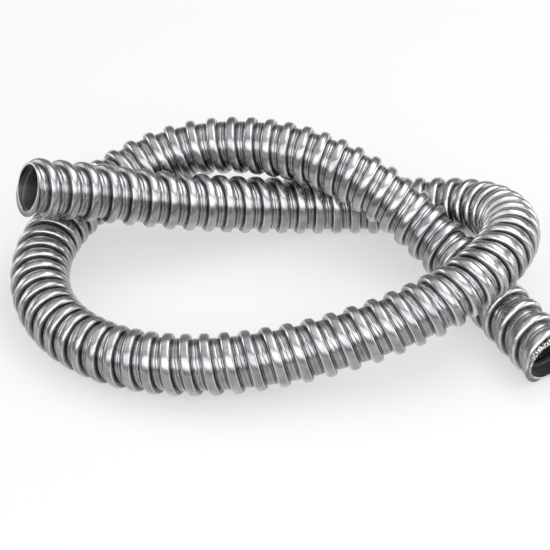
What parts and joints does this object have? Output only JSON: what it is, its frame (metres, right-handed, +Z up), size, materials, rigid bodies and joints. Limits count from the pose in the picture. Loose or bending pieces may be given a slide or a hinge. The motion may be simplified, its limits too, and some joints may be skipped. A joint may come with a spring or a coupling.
{
  "type": "flexible conduit",
  "caption": "Corrugated strip-wound steel conduit, a short length with bare cut ends lying in a loose overhand knot.",
  "frame": {"origin": "on the floor, under the middle of the knot's box", "axes": "+Z up from the floor; the raised end's mouth is towards -X, the floor end's mouth towards -Y"},
  "size_m": [0.2404, 0.1544, 0.0636],
  "materials": {
    "galvanised_steel": "bright galvanised, drawn smooth"
  },
  "bodies": {
    "root": {"conduit": "galvanised_steel"}
  },
  "joints": []
}
